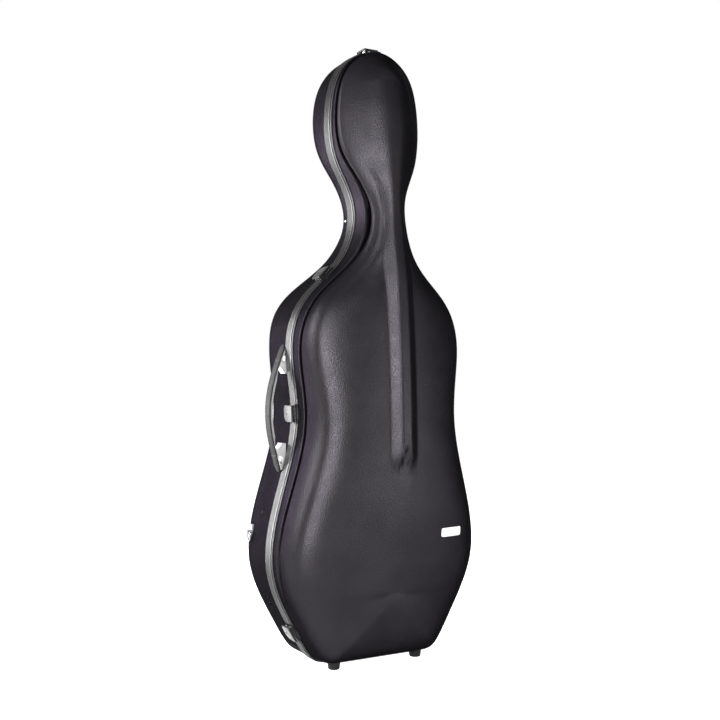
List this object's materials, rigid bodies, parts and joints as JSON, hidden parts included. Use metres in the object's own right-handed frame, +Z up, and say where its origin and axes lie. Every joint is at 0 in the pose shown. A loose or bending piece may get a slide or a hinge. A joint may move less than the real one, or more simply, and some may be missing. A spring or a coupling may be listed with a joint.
{
  "type": "cello hard case",
  "caption": "Tall moulded hard case in two half shells that close on a metal rim, shaped round a cello, with draw latches, a side handle, strap rings and rubber feet.",
  "frame": {"origin": "on the floor under the middle of the standing case", "axes": "+Z up along the length of the case, +X to the hinge side, -Y out of the lid"},
  "size_m": [0.5168, 0.3116, 1.378],
  "materials": {
    "shell": "satin with a fine embossed grain",
    "lining": "plush",
    "rim": "brushed along its length",
    "dark_rim": "satin black",
    "rubber": "matt",
    "padding": "plush over foam",
    "webbing": "woven",
    "handle": "satin",
    "grip": "ribbed satin",
    "bright_metal": "satin nickel",
    "steel": "nickel plated",
    "black_metal": "satin black"
  },
  "bodies": {
    "case": {"base_shell": "shell", "base_lining": "lining", "base_rim": "rim", "rim_seal": "rubber", "top_latch_bracket": "black_metal", "shoulder_latch_bracket": "black_metal", "waist_latch_bracket": "black_metal", "lower_latch_bracket": "black_metal", "upper_hinge_base_leaf": "steel", "upper_hinge_pin": "steel", "lower_hinge_base_leaf": "steel", "lower_hinge_pin": "steel", "handle_strap": "handle", "handle_grip": "grip", "upper_handle_bracket": "bright_metal", "upper_handle_pin": "steel", "lower_handle_bracket": "bright_metal", "lower_handle_pin": "steel", "left_lower_ring_plate": "black_metal", "right_lower_ring_plate": "black_metal", "left_upper_ring_plate": "black_metal", "right_upper_ring_plate": "black_metal", "base_left_foot": "rubber", "base_right_foot": "rubber", "upper_left_cushion": "padding", "lower_left_cushion": "padding", "upper_right_cushion": "padding", "lower_right_cushion": "padding", "neck_cradle": "padding", "neck_strap": "webbing", "end_block": "padding"},
    "lid": {"lid_shell": "shell", "lid_lining": "lining", "lid_rim": "dark_rim", "top_latch_keeper": "black_metal", "shoulder_latch_keeper": "black_metal", "waist_latch_keeper": "black_metal", "lower_latch_keeper": "black_metal", "upper_hinge_lid_leaf": "steel", "lower_hinge_lid_leaf": "steel", "lid_left_foot": "rubber", "lid_right_foot": "rubber", "left_bow_post": "black_metal", "right_bow_post": "black_metal"},
    "top lever": {"top_latch_lever": "bright_metal"},
    "top bail": {"top_latch_bail": "black_metal"},
    "shoulder lever": {"shoulder_latch_lever": "bright_metal"},
    "shoulder bail": {"shoulder_latch_bail": "black_metal"},
    "waist lever": {"waist_latch_lever": "bright_metal"},
    "waist bail": {"waist_latch_bail": "black_metal"},
    "lower lever": {"lower_latch_lever": "bright_metal"},
    "lower bail": {"lower_latch_bail": "black_metal"},
    "left lower ring": {"left_lower_strap_ring": "steel"},
    "right lower ring": {"right_lower_strap_ring": "steel"},
    "left upper ring": {"left_upper_strap_ring": "steel"},
    "right upper ring": {"right_upper_strap_ring": "steel"},
    "left bow button": {"left_bow_button": "black_metal"},
    "right bow button": {"right_bow_button": "black_metal"}
  },
  "joints": [
    {"name": "lid hinge", "type": "hinge", "parent": "case", "child": "lid", "pos_m": [0.2324, 0, 0.5102], "axis": [-0.1046, 0, 0.9945], "range_deg": [0, 115]},
    {"name": "top latch", "type": "hinge", "parent": "case", "child": "top lever", "pos_m": [0, 0.0055, 1.37405], "axis": [1, 0, 0], "range_deg": [0, 95]},
    {"name": "top bail pivot", "type": "hinge", "parent": "top lever", "child": "top bail", "pos_m": [0, 0.0111, 1.37352], "axis": [1, 0, 0], "range_deg": [-95, 0]},
    {"name": "shoulder latch", "type": "hinge", "parent": "case", "child": "shoulder lever", "pos_m": [-0.1204, 0.0055, 0.86753], "axis": [0.6963, 0, 0.7178], "range_deg": [0, 95]},
    {"name": "shoulder bail pivot", "type": "hinge", "parent": "shoulder lever", "child": "shoulder bail", "pos_m": [-0.12002, 0.0111, 0.86716], "axis": [0.6963, 0, 0.7178], "range_deg": [-95, 0]},
    {"name": "waist latch", "type": "hinge", "parent": "case", "child": "waist lever", "pos_m": [-0.19901, 0.0055, 0.55738], "axis": [-0.0746, 0, 0.9972], "range_deg": [0, 95]},
    {"name": "waist bail pivot", "type": "hinge", "parent": "waist lever", "child": "waist bail", "pos_m": [-0.19848, 0.0111, 0.55742], "axis": [-0.0746, 0, 0.9972], "range_deg": [-95, 0]},
    {"name": "lower latch", "type": "hinge", "parent": "case", "child": "lower lever", "pos_m": [-0.19432, 0.0055, 0.07851], "axis": [-0.5171, 0, 0.8559], "range_deg": [0, 95]},
    {"name": "lower bail pivot", "type": "hinge", "parent": "lower lever", "child": "lower bail", "pos_m": [-0.19386, 0.0111, 0.07878], "axis": [-0.5171, 0, 0.8559], "range_deg": [-95, 0]},
    {"name": "left lower ring hinge", "type": "hinge", "parent": "case", "child": "left lower ring", "pos_m": [-0.24523, 0.11246, 0.29205], "axis": [0.2315, 0.9728, 0], "range_deg": [0, 150]},
    {"name": "right lower ring hinge", "type": "hinge", "parent": "case", "child": "right lower ring", "pos_m": [0.24523, 0.11246, 0.29205], "axis": [0.2315, -0.9728, 0], "range_deg": [0, 150]},
    {"name": "left upper ring hinge", "type": "hinge", "parent": "case", "child": "left upper ring", "pos_m": [-0.0408, 0.1581, 0.747], "axis": [0.9995, 0.0316, 0], "range_deg": [0, 150]},
    {"name": "right upper ring hinge", "type": "hinge", "parent": "case", "child": "right upper ring", "pos_m": [0.04084, 0.15808, 0.747], "axis": [0.9993, -0.0376, 0], "range_deg": [0, 150]},
    {"name": "left bow button turn", "type": "hinge", "parent": "lid", "child": "left bow button", "pos_m": [-0.115, -0.09535, 0.288], "axis": [0.1622, 0.9843, 0.0702], "range_deg": [0, 90]},
    {"name": "right bow button turn", "type": "hinge", "parent": "lid", "child": "right bow button", "pos_m": [0.115, -0.09613, 0.288], "axis": [-0.1918, 0.9791, 0.0671], "range_deg": [0, 90]}
  ],
  "couplings": [
    {"joint": "top bail pivot", "follows": "top latch", "ratio": -1},
    {"joint": "shoulder bail pivot", "follows": "shoulder latch", "ratio": -1},
    {"joint": "waist bail pivot", "follows": "waist latch", "ratio": -1},
    {"joint": "lower bail pivot", "follows": "lower latch", "ratio": -1}
  ]
}
